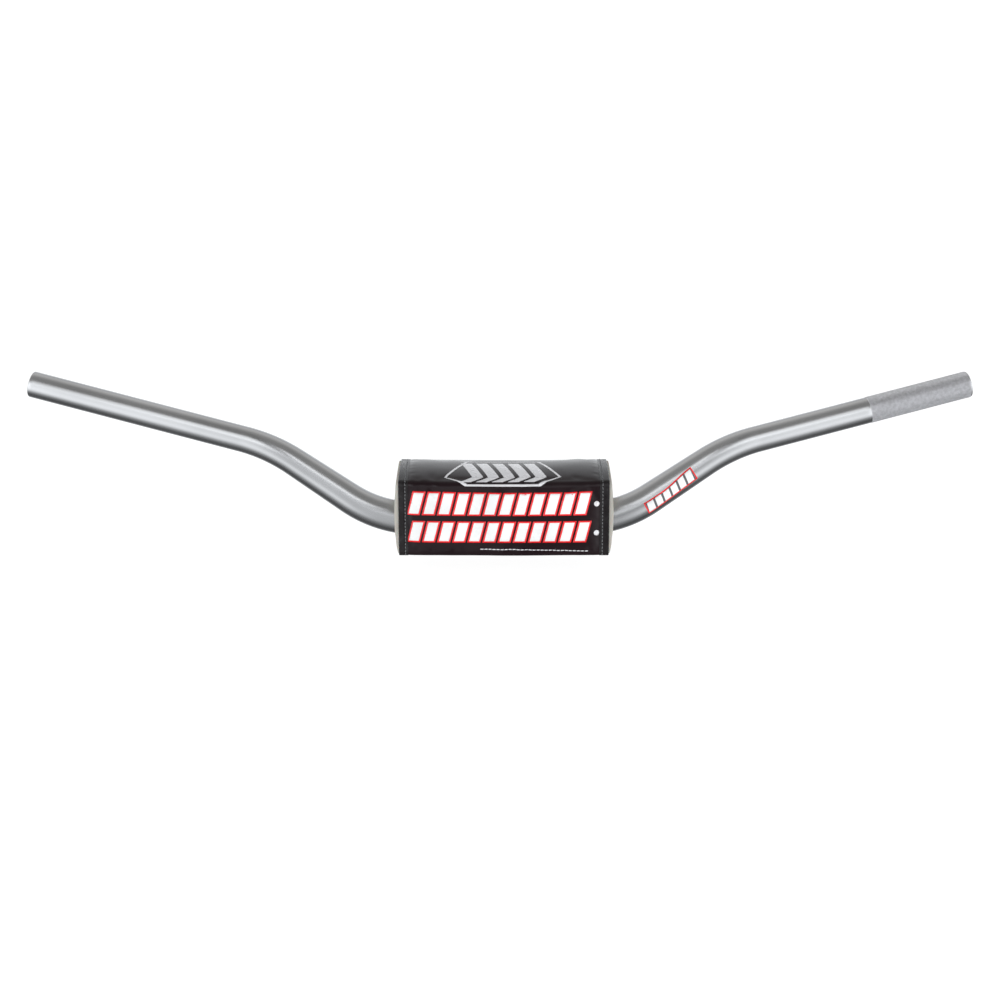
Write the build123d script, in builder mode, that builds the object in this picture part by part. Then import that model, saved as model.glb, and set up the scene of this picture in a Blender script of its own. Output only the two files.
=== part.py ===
from build123d import *
import os
from math import radians, tan

# Off-road motorcycle handlebar without a crossbar, and the foam pad that straps over its clamp.
# Frame: origin on the bar's axis in the middle of the clamp zone. +X runs to the rider's left,
# -Y points to the front of the motorcycle, +Z is up. Millimetres and degrees.

# ---- Bar: centre line of the rider's left half; the other half mirrors it ----
BAR_CENTRE = Vector(0, 0, 0)
RISER_FOOT = Vector(100.5, 0, 0)
ELBOW = Vector(191.8, 13.0, 58.9)
BAR_TIP = Vector(396.8, 49.9, 103.6)
RISER_BEND_RADIUS = 101.0
ELBOW_BEND_RADIUS = 133.0

# ---- Bar: diameters ----
CLAMP_DIAMETER = 28.6
GRIP_DIAMETER = 22.2
CLAMP_BORE_DIAMETER = 20.6
GRIP_BORE_DIAMETER = 14.5
TAPER_START_X = 60.0
RIM_CHAMFER = 1.5

# ---- Decal on the rider's left riser ----
DECAL_LENGTH = 47.0
DECAL_GAP_TO_BEND = 0.3
DECAL_ANGLE = 75.0
DECAL_THICKNESS = 0.2
DECAL_GLUE_LINE = 0.05
DECAL_FACING = Vector(0, -0.97, -0.22)

# ---- Pad: where it sits on the bar, and its outline seen from the end ----
PAD_CENTRE_X = 3.2
PAD_FRONT_Y = -38.0
PAD_REAR_Y = 35.0
PAD_BOTTOM_Z = -21.6
PAD_TOP_CORNER_Z = 42.3
PAD_CROWN_Y = -1.5
PAD_CROWN_Z = 47.1
PAD_BOTTOM_ROUNDING = 5.0
PAD_FRONT_TOP_ROUNDING = 5.0
PAD_CROWN_ROUNDING = 220.0
PAD_REAR_TOP_ROUNDING = 7.0
COVER_WIDTH = 172.0
COVER_THICKNESS = 1.0
FOAM_WIDTH = 182.0
FOAM_END_DOME = 3.0

# ---- Pad: room for the bar and for the bar clamp, both open downwards ----
CAVITY_LENGTH = 108.0
CAVITY_SPAN_Y = 52.0
CAVITY_TOP_Z = 24.0
ROOM_DEPTH = 60.0
SLOT_RADIUS = 15.2
SLOT_CENTRE_Z = 2.2

# ---- Edge bindings and thread ----
BINDING_WIDTH = 7.4
BINDING_THICKNESS = 0.9
BINDING_LIP = 0.6
BINDING_SEAM_FROM_EDGE = 4.9
STITCH_PITCH = 3.0
STITCH_LENGTH = 2.2
THREAD_WIDTH = 0.5
THREAD_HEIGHT = 0.25

# ---- Closure straps with their hook and loop patches ----
STRAP_CENTRE_X = 66.5
STRAP_WIDTH = 20.0
STRAP_THICKNESS = 1.2
STRAP_ROOT_Y = -28.0
STRAP_LEVEL_Y = 12.0
STRAP_END_Y = 32.5
STRAP_CORNER_RADIUS = 4.0
PATCH_WIDTH = 18.0
PATCH_LENGTH = 15.0
PATCH_CENTRE_Y = 23.75
PATCH_THICKNESS = 0.8
PATCH_CORNER_RADIUS = 1.0
PATCH_SEAM_INSET = 1.6
SEAM_GROOVE_WIDTH = 0.8
SEAM_GROOVE_DEPTH = 0.3
ANCHOR_ROWS_Y = (-33.5, -30.5)
MOVING_GAP = 0.3

# ---- Heights of the closure, from the pad's underside down ----
LOOP_FACE_Z = PAD_BOTTOM_Z - PATCH_THICKNESS
HOOK_FACE_Z = LOOP_FACE_Z - MOVING_GAP
STRAP_TOP_Z = HOOK_FACE_Z - PATCH_THICKNESS
STRAP_UNDERSIDE_Z = STRAP_TOP_Z - STRAP_THICKNESS
STRAP_ROOT_Z = PAD_BOTTOM_Z - MOVING_GAP

# ---- The bar's directions and the ends of its bends ----
riser_direction = (ELBOW - RISER_FOOT).normalized()
grip_direction = (BAR_TIP - ELBOW).normalized()

# ---- Which way each side of the motorcycle lies ----
SIDES = {"left": 1, "right": -1}

os.makedirs("parts", exist_ok=True)


# ================= Bar =================

with BuildLine() as centre_line:
    FilletPolyline(
        Vector(TAPER_START_X, 0, 0),
        RISER_FOOT,
        ELBOW,
        BAR_TIP,
        radius=(RISER_BEND_RADIUS, ELBOW_BEND_RADIUS),
    )
*taper_edges, grip_edge = centre_line.wire().order_edges()
taper_path = Wire(taper_edges)
riser_edge = taper_edges[2]
grip_plane = Plane(grip_edge @ 0, z_dir=grip_direction)

# Each station is a plane across the taper and how far along the taper it lies.
taper_stations = [(Plane(taper_path @ 0, z_dir=taper_path % 0), 0.0)]
for edge in taper_edges:
    distance_along = taper_stations[-1][1] + edge.length
    taper_stations.append((Plane(edge @ 1, z_dir=edge % 1), distance_along))
taper_length = taper_stations[-1][1]


def tapered_radius(distance, clamp_diameter, grip_diameter):
    """Radius of the taper at a distance along it from its thick end."""
    share = distance / taper_length
    return (clamp_diameter + (grip_diameter - clamp_diameter) * share) / 2


with BuildPart() as bar_tube:
    outside = (CLAMP_DIAMETER, GRIP_DIAMETER, Mode.ADD)
    bore = (CLAMP_BORE_DIAMETER, GRIP_BORE_DIAMETER, Mode.SUBTRACT)
    for clamp_diameter, grip_diameter, mode in (outside, bore):
        with BuildSketch(Plane.YZ):
            Circle(clamp_diameter / 2)
        extrude(amount=TAPER_START_X, mode=mode)
        for plane, distance in taper_stations:
            with BuildSketch(plane):
                Circle(tapered_radius(distance, clamp_diameter, grip_diameter))
        sweep(path=taper_path, multisection=True, mode=mode)
        with BuildSketch(grip_plane):
            Circle(grip_diameter / 2)
        extrude(amount=grip_edge.length, mode=mode)
    end_face = bar_tube.faces().sort_by(Axis(grip_edge @ 0, grip_direction))[-1]
    chamfer(end_face.edges(), length=RIM_CHAMFER)
    mirror(about=Plane.YZ)
bar_tube.part.label = "bar_tube"
export_step(bar_tube.part, "parts/bar_tube.step")

# The decal is a thin strip that wraps part of the way round the straight of the riser.
decal_start = taper_stations[2][1] + DECAL_GAP_TO_BEND
decal_origin = riser_edge @ 0 + riser_direction * DECAL_GAP_TO_BEND
decal_middle = DECAL_FACING - riser_direction * DECAL_FACING.dot(riser_direction)
decal_edge = decal_middle.rotate(Axis(Vector(), riser_direction), -DECAL_ANGLE / 2)
decal_plane = Plane(decal_origin, x_dir=riser_direction, z_dir=riser_direction.cross(decal_edge))
decal_end = decal_start + DECAL_LENGTH
start_radius = tapered_radius(decal_start, CLAMP_DIAMETER, GRIP_DIAMETER) + DECAL_GLUE_LINE
end_radius = tapered_radius(decal_end, CLAMP_DIAMETER, GRIP_DIAMETER) + DECAL_GLUE_LINE

with BuildPart() as bar_decal:
    with BuildSketch(decal_plane):
        with BuildLine():
            Polyline(
                (0, start_radius),
                (DECAL_LENGTH, end_radius),
                (DECAL_LENGTH, end_radius + DECAL_THICKNESS),
                (0, start_radius + DECAL_THICKNESS),
                close=True,
            )
        make_face()
    revolve(axis=Axis(decal_origin, riser_direction), revolution_arc=DECAL_ANGLE)
bar_decal.part.label = "bar_decal"
export_step(bar_decal.part, "parts/bar_decal.step")


# ================= Pad: foam and cover =================

PAD_CORNERS = (
    (PAD_FRONT_Y, PAD_BOTTOM_Z),
    (PAD_FRONT_Y, PAD_TOP_CORNER_Z),
    (PAD_CROWN_Y, PAD_CROWN_Z),
    (PAD_REAR_Y, PAD_TOP_CORNER_Z),
    (PAD_REAR_Y, PAD_BOTTOM_Z),
)
PAD_ROUNDINGS = (
    PAD_BOTTOM_ROUNDING,
    PAD_FRONT_TOP_ROUNDING,
    PAD_CROWN_ROUNDING,
    PAD_REAR_TOP_ROUNDING,
    PAD_BOTTOM_ROUNDING,
)
pad_middle = Plane.YZ.offset(PAD_CENTRE_X)

with BuildSketch(pad_middle) as cover_outline:
    with BuildLine():
        FilletPolyline(*PAD_CORNERS, radius=PAD_ROUNDINGS, close=True)
    make_face()
with BuildSketch(pad_middle) as foam_outline:
    offset(cover_outline.sketch_local, amount=-COVER_THICKNESS)
with BuildSketch(pad_middle) as binding_outline:
    offset(cover_outline.sketch_local, amount=BINDING_THICKNESS)

# Room under the pad, open downwards: a slot for the bar all along, and a cavity for the clamp.
with BuildPart() as bar_room:
    with BuildSketch(pad_middle):
        with Locations((0, SLOT_CENTRE_Z)):
            Circle(SLOT_RADIUS)
            Rectangle(2 * SLOT_RADIUS, ROOM_DEPTH, align=(Align.CENTER, Align.MAX))
    extrude(amount=FOAM_WIDTH, both=True)
    with BuildSketch(Plane.XY.offset(CAVITY_TOP_Z)):
        with Locations((PAD_CENTRE_X, 0)):
            Rectangle(CAVITY_LENGTH, CAVITY_SPAN_Y)
    extrude(amount=-ROOM_DEPTH)

with BuildPart() as foam_block:
    extrude(foam_outline.sketch, amount=FOAM_WIDTH / 2, both=True)
    dome_edge_x = FOAM_WIDTH / 2 - FOAM_END_DOME
    with BuildSketch(Plane.XZ.move(Location((PAD_CENTRE_X, 0, 0)))):
        with BuildLine():
            side_arc = ThreePointArc(
                (dome_edge_x, PAD_CROWN_Z),
                (FOAM_WIDTH / 2, (PAD_BOTTOM_Z + PAD_CROWN_Z) / 2),
                (dome_edge_x, PAD_BOTTOM_Z),
            )
            Polyline(side_arc @ 1, (0, PAD_BOTTOM_Z), (0, PAD_CROWN_Z), side_arc @ 0)
        make_face()
        mirror(about=Plane.YZ)
    extrude(amount=PAD_REAR_Y - PAD_FRONT_Y, both=True, mode=Mode.INTERSECT)
    add(bar_room.part, mode=Mode.SUBTRACT)
foam_block.part.label = "foam_block"
export_step(foam_block.part, "parts/foam_block.step")

with BuildPart() as cover_panel:
    extrude(cover_outline.sketch, amount=COVER_WIDTH / 2, both=True)
    extrude(foam_outline.sketch, amount=COVER_WIDTH / 2, both=True, mode=Mode.SUBTRACT)
    add(bar_room.part, mode=Mode.SUBTRACT)
cover_panel.part.label = "cover_panel"
export_step(cover_panel.part, "parts/cover_panel.step")


# ================= Thread =================

def stitch_planes(edges, outward):
    """Planes for evenly spaced stitches along edges; outward turns a tangent into the way out."""
    planes = []
    for edge in edges:
        count = max(1, round(edge.length / STITCH_PITCH))
        for index in range(count):
            share = (index + 0.5) / count
            tangent = edge % share
            planes.append(Plane(edge @ share, x_dir=tangent, z_dir=outward(tangent)))
    return planes


def away_from_pad(tangent):
    """The way out of the pad beside a tangent that runs round its end-on outline."""
    return tangent.cross(Vector(1, 0, 0))


def downwards(tangent):
    """Stitches on the underside stand out downwards, whichever way the seam runs."""
    return Vector(0, 0, -1)


def clear_of_slot(plane):
    """Whether a stitch on this plane misses the bar's slot in the underside."""
    over_slot = abs(plane.origin.Y) < SLOT_RADIUS + STITCH_LENGTH / 2
    return plane.origin.Z > 0 or not over_slot


def sew(planes):
    """Add one raised stitch on each plane to the part being built."""
    with BuildSketch(*planes) as stitches:
        SlotOverall(STITCH_LENGTH, THREAD_WIDTH)
    extrude(stitches.sketch, amount=THREAD_HEIGHT)


# ================= Pad: edge bindings =================

for side, sign in SIDES.items():
    edge_plane = pad_middle.offset(sign * COVER_WIDTH / 2)
    with BuildPart() as edge_binding:
        with BuildSketch(edge_plane) as wrap:
            add(binding_outline.sketch_local)
            add(cover_outline.sketch_local, mode=Mode.SUBTRACT)
        extrude(amount=-sign * BINDING_WIDTH)
        with BuildSketch(edge_plane) as lip:
            add(binding_outline.sketch_local)
            add(foam_outline.sketch_local, mode=Mode.SUBTRACT)
        extrude(amount=sign * BINDING_LIP)
        add(bar_room.part, mode=Mode.SUBTRACT)
    edge_binding.part.label = f"{side}_edge_binding"
    export_step(edge_binding.part, f"parts/{side}_edge_binding.step")

    seam_x = sign * (COVER_WIDTH / 2 - BINDING_SEAM_FROM_EDGE)
    seam_edges = binding_outline.sketch.moved(Location((seam_x, 0, 0))).edges()
    seam_planes = stitch_planes(seam_edges, away_from_pad)
    with BuildPart() as binding_thread:
        sew([plane for plane in seam_planes if clear_of_slot(plane)])
    binding_thread.part.label = f"{side}_binding_thread"
    export_step(binding_thread.part, f"parts/{side}_binding_thread.step")


# ================= Closure: straps, patches and their seams =================

for side, sign in SIDES.items():
    strap_x = PAD_CENTRE_X + sign * STRAP_CENTRE_X

    with BuildPart() as strap:
        with BuildSketch(Plane.YZ.offset(strap_x)):
            with BuildLine():
                top_line = Polyline(
                    (STRAP_ROOT_Y, STRAP_ROOT_Z),
                    (STRAP_LEVEL_Y, STRAP_TOP_Z),
                    (STRAP_END_Y, STRAP_TOP_Z),
                )
                offset(top_line, amount=STRAP_THICKNESS, side=Side.RIGHT)
            make_face()
        extrude(amount=STRAP_WIDTH / 2, both=True)
        end_corners = strap.edges().filter_by(Axis.Z).group_by(Axis.Y)[-1]
        fillet(end_corners, radius=STRAP_CORNER_RADIUS)
    strap.part.label = f"strap_{side}"
    export_step(strap.part, f"parts/strap_{side}.step")

    with BuildPart() as hook_patch:
        with BuildSketch(Plane.XY.offset(STRAP_TOP_Z)):
            with Locations((strap_x, PATCH_CENTRE_Y)):
                RectangleRounded(PATCH_WIDTH, PATCH_LENGTH, PATCH_CORNER_RADIUS)
        extrude(amount=PATCH_THICKNESS)
    hook_patch.part.label = f"hook_patch_{side}"
    export_step(hook_patch.part, f"parts/hook_patch_{side}.step")

    with BuildSketch(Plane.XY.offset(LOOP_FACE_Z + SEAM_GROOVE_DEPTH)) as seam_line:
        with Locations((strap_x, PATCH_CENTRE_Y)):
            Rectangle(PATCH_WIDTH - 2 * PATCH_SEAM_INSET, PATCH_LENGTH - 2 * PATCH_SEAM_INSET)

    with BuildPart() as loop_patch:
        with BuildSketch(Plane.XY.offset(LOOP_FACE_Z)):
            with Locations((strap_x, PATCH_CENTRE_Y)):
                RectangleRounded(PATCH_WIDTH, PATCH_LENGTH, PATCH_CORNER_RADIUS)
        extrude(amount=PATCH_THICKNESS)
        with BuildSketch(Plane.XY.offset(LOOP_FACE_Z)):
            offset(seam_line.sketch_local, amount=SEAM_GROOVE_WIDTH / 2, kind=Kind.INTERSECTION)
            offset(
                seam_line.sketch_local,
                amount=-SEAM_GROOVE_WIDTH / 2,
                kind=Kind.INTERSECTION,
                mode=Mode.SUBTRACT,
            )
        extrude(amount=SEAM_GROOVE_DEPTH, mode=Mode.SUBTRACT)
    loop_patch.part.label = f"loop_patch_{side}"
    export_step(loop_patch.part, f"parts/loop_patch_{side}.step")

    with BuildPart() as loop_patch_thread:
        sew(stitch_planes(seam_line.sketch.edges(), downwards))
    loop_patch_thread.part.label = f"loop_patch_thread_{side}"
    export_step(loop_patch_thread.part, f"parts/loop_patch_thread_{side}.step")

    strap_seam_drop = STRAP_UNDERSIDE_Z - LOOP_FACE_Z - SEAM_GROOVE_DEPTH
    strap_seam = seam_line.sketch.moved(Location((0, 0, strap_seam_drop)))
    with BuildPart() as hook_patch_thread:
        sew(stitch_planes(strap_seam.edges(), downwards))
    hook_patch_thread.part.label = f"hook_patch_thread_{side}"
    export_step(hook_patch_thread.part, f"parts/hook_patch_thread_{side}.step")

    with BuildLine(Plane.XY.offset(PAD_BOTTOM_Z)) as anchor_rows:
        for row_y in ANCHOR_ROWS_Y:
            Line((strap_x - PATCH_WIDTH / 2, row_y), (strap_x + PATCH_WIDTH / 2, row_y))
    with BuildPart() as strap_anchor_thread:
        sew(stitch_planes(anchor_rows.edges(), downwards))
    strap_anchor_thread.part.label = f"strap_anchor_thread_{side}"
    export_step(strap_anchor_thread.part, f"parts/strap_anchor_thread_{side}.step")
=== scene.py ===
import math

import bmesh
import bpy
import numpy as np
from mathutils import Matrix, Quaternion, Vector, noise


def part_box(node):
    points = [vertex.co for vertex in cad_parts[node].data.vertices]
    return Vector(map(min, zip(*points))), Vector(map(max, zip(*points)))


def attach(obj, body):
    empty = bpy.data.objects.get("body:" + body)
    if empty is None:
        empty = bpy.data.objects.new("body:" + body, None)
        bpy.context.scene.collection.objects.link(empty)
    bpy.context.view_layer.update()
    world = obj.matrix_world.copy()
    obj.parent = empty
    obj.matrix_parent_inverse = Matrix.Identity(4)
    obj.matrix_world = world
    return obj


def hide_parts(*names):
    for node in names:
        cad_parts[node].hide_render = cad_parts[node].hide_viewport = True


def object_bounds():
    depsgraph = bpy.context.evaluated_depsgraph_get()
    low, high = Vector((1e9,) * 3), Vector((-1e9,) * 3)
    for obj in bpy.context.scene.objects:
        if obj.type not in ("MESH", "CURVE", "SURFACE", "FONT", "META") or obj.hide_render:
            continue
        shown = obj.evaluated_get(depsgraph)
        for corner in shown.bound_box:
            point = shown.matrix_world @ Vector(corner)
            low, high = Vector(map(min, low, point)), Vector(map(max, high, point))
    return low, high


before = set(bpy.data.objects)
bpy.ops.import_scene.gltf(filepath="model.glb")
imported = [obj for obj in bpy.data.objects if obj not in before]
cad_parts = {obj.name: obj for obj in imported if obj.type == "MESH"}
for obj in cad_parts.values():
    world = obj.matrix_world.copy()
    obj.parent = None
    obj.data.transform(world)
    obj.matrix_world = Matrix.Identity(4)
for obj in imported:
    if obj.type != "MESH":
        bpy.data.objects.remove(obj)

# Looks of an off-road handlebar and its clamp pad. Metres, in the frame of the CAD:
# origin on the bar's axis in the clamp zone, +X to the rider's left, -Y to the front, +Z up.

CAD_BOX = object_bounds()
MM = 0.001
TURN = 2 * math.pi
UP = Vector((0, 0, 1))

# ---- Bar: centre line of the rider's left half, and radii ----
BAR_POINTS = (
    Vector((0, 0, 0)),
    Vector((0.1005, 0, 0)),
    Vector((0.1918, 0.0130, 0.0589)),
    Vector((0.3968, 0.0499, 0.1036)),
)
BEND_RADII = (0.101, 0.133)
CLAMP_RADIUS = 14.3 * MM
GRIP_RADIUS = 11.1 * MM
CLAMP_BORE_RADIUS = 10.3 * MM
GRIP_BORE_RADIUS = 7.25 * MM
TAPER_START = 60 * MM
RIM_ROUNDING = 1.5 * MM
RIM_STEPS = 5
RING_SPACING = 2.5 * MM
TUBE_SIDES = 128

# ---- Knurl on the rider's left grip: diamonds in columns, with a flat top of this share ----
KNURL_LENGTH = 90 * MM
KNURL_COLUMNS = 66
KNURL_DEPTH = 0.2 * MM
KNURL_TOP = 0.6

# ---- Pad: end-on outline, as the CAD has it ----
COVER_LOW, COVER_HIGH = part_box("cover_panel")
PAD_BOTTOM = COVER_LOW.z
PAD_TOP = COVER_HIGH.z
PAD_FRONT = COVER_LOW.y
PAD_REAR = COVER_HIGH.y
PAD_MIDDLE = (COVER_LOW.x + COVER_HIGH.x) / 2
PAD_HALF = (COVER_HIGH.x - COVER_LOW.x) / 2
PAD_TOP_CORNER = 42.3 * MM
PAD_CROWN = (-1.5 * MM, 47.1 * MM)
PAD_ROUNDINGS = (5 * MM, 5 * MM, 220 * MM, 7 * MM, 5 * MM)
COVER_THICKNESS = 0.9 * MM
CAVITY_HALF_X = 54 * MM
CAVITY_HALF_Y = 26 * MM
SLOT_HALF_Y = 15.2 * MM

# ---- How the pad departs from the plain outline ----
FRONT_BULGE = 2.8 * MM
REAR_BULGE = 0.6 * MM
BELLY_SHARE = 0.28
BELLY_REACH = 1.05
TOP_SAG = 0.6 * MM

# ---- Edge bindings ----
BINDING_WIDTH = 7.4 * MM
SEAM_FROM_EDGE = 4.9 * MM
STITCH_PITCH = 3 * MM


# ================= Numbers =================

def clamped(value):
    return min(1, max(0, value))


def eased(value):
    """A smooth climb from zero to one as the value goes from zero to one."""
    share = clamped(value)
    return share * share * (3 - 2 * share)


def spaced(start, end, spacing):
    """Evenly spaced numbers from start to end, at most spacing apart."""
    count = max(1, math.ceil(abs(end - start) / spacing - 1e-6))
    return [start + (end - start) * index / count for index in range(count + 1)]


def ripple(x, y, x_rate, y_rate, layer):
    """Smooth noise over a surface, from -1 to 1; each layer is a pattern of its own."""
    return noise.noise(Vector((x * x_rate, y * y_rate, layer)))


# ================= Paths =================

def rounded_path(points, radii):
    """Spans (start, direction, turn axis, radius, length) of a path rounded at its inner points."""
    spans = []
    here = points[0]
    for index, radius in enumerate(radii, 1):
        into = (points[index] - points[index - 1]).normalized()
        out = (points[index + 1] - points[index]).normalized()
        turn = into.angle(out)
        reach = radius * math.tan(turn / 2)
        bend_start = points[index] - into * reach
        spans.append((here, into, None, 0, (bend_start - here).length))
        spans.append((bend_start, into, into.cross(out).normalized(), radius, radius * turn))
        here = points[index] + out * reach
    last = points[-1] - here
    spans.append((here, last.normalized(), None, 0, last.length))
    return spans


def walk(spans, distance):
    """The point and the direction at a distance along a path."""
    for span in spans:
        start, direction, axis, radius, length = span
        if distance <= length or span is spans[-1]:
            break
        distance -= length
    if axis is None:
        return start + direction * distance, direction
    turned = Quaternion(axis, distance / radius)
    centre = start + axis.cross(direction) * radius
    return centre + turned @ (start - centre), turned @ direction


def path_length(spans):
    return sum(span[4] for span in spans)


BAR = rounded_path(BAR_POINTS, BEND_RADII)
BAR_HALF = path_length(BAR)
GRIP_START = BAR_HALF - BAR[-1][4]
RISER_START = BAR[0][4] + BAR[1][4]
KNURL_START = BAR_HALF - KNURL_LENGTH


def taper(distance, clamp_radius, grip_radius):
    """Radius at a distance from the bar's middle, between the clamp zone's and the grip's."""
    share = clamped((abs(distance) - TAPER_START) / (GRIP_START - TAPER_START))
    return clamp_radius + (grip_radius - clamp_radius) * share


def on_bar(distance, around, radius):
    """The point at a signed distance from the bar's middle and an angle from its top to its front."""
    point, direction = walk(BAR, abs(distance))
    if distance < 0:
        point = Vector((-point.x, point.y, point.z))
        direction = Vector((direction.x, -direction.y, -direction.z))
    side = direction.cross(UP).normalized()
    upper = side.cross(direction)
    return point + (upper * math.cos(around) + side * math.sin(around)) * radius


# ================= Meshes =================

def mesh_object(name, points, faces, smooth=True):
    """A mesh object from points and faces."""
    mesh = bpy.data.meshes.new(name)
    mesh.from_pydata([tuple(p) for p in points], [], faces)
    mesh.validate()
    if smooth:
        mesh.shade_smooth()
    made = bpy.data.objects.new(name, mesh)
    bpy.context.scene.collection.objects.link(made)
    return made


def grid_faces(rows, columns, wrap_rows=False, wrap_columns=True):
    """Quads of a grid of points, row by row."""
    faces = []
    for row in range(rows if wrap_rows else rows - 1):
        here, below = row * columns, (row + 1) % rows * columns
        for column in range(columns if wrap_columns else columns - 1):
            right = (column + 1) % columns
            faces.append((here + column, here + right, below + right, below + column))
    return faces


def shell_faces(sheet, count):
    """Faces that close a sheet of count points and the same points one layer on into a shell."""
    edges = dict.fromkeys(pair for face in sheet for pair in zip(face, face[1:] + face[:1]))
    shell = [face[::-1] for face in sheet]
    shell += [tuple(index + count for index in face) for face in sheet]
    return shell + [(a, b, b + count, a + count) for a, b in edges if (b, a) not in edges]


def outward(piece):
    """Make every face of a closed mesh look out."""
    work = bmesh.new()
    work.from_mesh(piece.data)
    bmesh.ops.recalc_face_normals(work, faces=work.faces)
    work.to_mesh(piece.data)
    work.free()
    return piece


def bake_modifiers(piece):
    """Turn a piece's modifiers into its mesh."""
    graph = bpy.context.evaluated_depsgraph_get()
    shaped = bpy.data.meshes.new_from_object(piece.evaluated_get(graph))
    piece.modifiers.clear()
    piece.data = shaped


def flow_map(piece, coordinates, wrap=None):
    """Give each vertex two lengths over the surface, in metres, as the UV map that materials read."""
    layer = piece.data.uv_layers.new(name="flow")
    for polygon in piece.data.polygons:
        pairs = [coordinates[index] for index in polygon.vertices]
        highest = max(pair[1] for pair in pairs)
        for loop, (along, across) in zip(polygon.loop_indices, pairs):
            if wrap and highest - across > wrap / 2:
                across += wrap
            layer.data[loop].uv = (along, across)


def finished(piece, material, body, slot, *replaced):
    """Paint a finished piece, put it on its body and let it stand for its CAD nodes."""
    piece.data.materials.clear()
    piece.data.materials.append(material)
    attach(piece, body)
    if replaced:
        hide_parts(*replaced)


# ================= Materials =================

def feed(tree, socket, source):
    """Link another node's output to a socket, or put a plain value into it."""
    if isinstance(source, bpy.types.NodeSocket):
        tree.links.new(source, socket)
    elif socket.type == "RGBA":
        socket.default_value = (*source, 1)
    else:
        socket.default_value = source


def add_node(tree, kind, inputs=None, **settings):
    """A new node; inputs has a source for each socket to feed, by its name or number."""
    made = tree.nodes.new(kind)
    for key, value in settings.items():
        setattr(made, key, value)
    for key, source in (inputs or {}).items():
        feed(tree, made.inputs[key], source)
    return made


def colour_ramp(tree, source, stops):
    """A colour ramp from (place, colour) stops; a colour may be one grey number."""
    made = add_node(tree, "ShaderNodeValToRGB", {"Fac": source})
    elements = made.color_ramp.elements
    while len(elements) < len(stops):
        elements.new(0.5)
    for element, (place, colour) in zip(elements, stops):
        element.position = place
        grey = isinstance(colour, (int, float))
        element.color = (colour, colour, colour, 1) if grey else (*colour, 1)
    return made.outputs["Color"]


class Paint:
    """A node material under construction around one Principled shader."""

    def __init__(self, name, **values):
        self.material = bpy.data.materials.new(name)
        self.material.use_nodes = True
        self.tree = self.material.node_tree
        self.shader = self.tree.nodes["Principled BSDF"]
        for socket, value in values.items():
            self.shader.inputs[socket.replace("_", " ")].default_value = value
        self.object = self.node("ShaderNodeTexCoord").outputs["Object"]
        self.flow = self.node("ShaderNodeUVMap", uv_map="flow").outputs["UV"]

    def node(self, kind, inputs=None, **settings):
        return add_node(self.tree, kind, inputs, **settings)

    def noise(self, scale, detail=3.0, roughness=0.55, source=None):
        inputs = {"Vector": source or self.object, "Scale": scale, "Detail": detail, "Roughness": roughness}
        return self.node("ShaderNodeTexNoise", inputs).outputs["Fac"]

    def wave(self, source, scale, distortion=0.0, direction="X"):
        """Even ridges that follow each other in one direction."""
        inputs = {"Vector": source, "Scale": scale, "Distortion": distortion, "Detail": 2.0}
        return self.node("ShaderNodeTexWave", inputs, bands_direction=direction).outputs["Fac"]

    def cells(self, scale):
        """Small round cells, as the distance from the middle of each."""
        inputs = {"Vector": self.object, "Scale": scale}
        return self.node("ShaderNodeTexVoronoi", inputs).outputs["Distance"]

    def ramp(self, source, *stops):
        return colour_ramp(self.tree, source, stops)

    def mix(self, share, first, second):
        """Mix two colours by a share."""
        return self.node("ShaderNodeMix", {0: share, 6: first, 7: second}, data_type="RGBA").outputs[2]

    def bump(self, height, strength, distance, after=None):
        """A bump node; several chain through after."""
        inputs = {"Height": height, "Strength": strength, "Distance": distance}
        if after:
            inputs["Normal"] = after
        return self.node("ShaderNodeBump", inputs).outputs["Normal"]

    def drive(self, colour, spread=None, normal=None):
        """Link the shader's colour, roughness and normal, and hand back the material."""
        for socket, source in (("Base Color", colour), ("Roughness", spread), ("Normal", normal)):
            if source:
                self.tree.links.new(source, self.shader.inputs[socket])
        return self.material


def shade(colour, factor):
    """A colour times a factor, white at most."""
    return tuple(min(1, part * factor) for part in colour)


def bar_alloy():
    """Satin titanium-grey anodised aluminium, drawn along the tube."""
    paint = Paint("bar_alloy", Metallic=1.0)
    base, roughness = (0.56, 0.56, 0.565), 0.24
    lengths = paint.node("ShaderNodeMapping", {"Vector": paint.flow, "Scale": (14, 1500, 1)})
    drawn = paint.noise(1.0, 4.0, source=lengths.outputs["Vector"])
    cloud = paint.noise(9.0, 4.0)
    fine = paint.noise(2600.0, 2.0)
    lighter = shade(base, 1.08)
    colour = paint.mix(paint.ramp(cloud, (0.35, 0.0), (0.65, 1.0)), shade(base, 0.93), lighter)
    streaked = paint.mix(paint.ramp(drawn, (0.3, 0.0), (0.7, 0.16)), colour, lighter)
    spread = paint.ramp(cloud, (0.3, roughness - 0.02), (0.7, roughness + 0.03))
    normal = paint.bump(drawn, 0.10, 0.02 * MM)
    normal = paint.bump(fine, 0.12, 0.01 * MM, normal)
    return paint.drive(streaked, spread, normal)


def knurl_alloy():
    """The same alloy where the rolling tool has broken up its surface."""
    paint = Paint("knurl_alloy", Metallic=1.0)
    cloud = paint.noise(420.0)
    fine = paint.noise(1800.0)
    colour = paint.ramp(cloud, (0.35, (0.56, 0.555, 0.565)), (0.65, (0.68, 0.675, 0.69)))
    spread = paint.ramp(fine, (0.3, 0.38), (0.7, 0.52))
    return paint.drive(colour, spread, paint.bump(fine, 0.3, 0.03 * MM))


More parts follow.
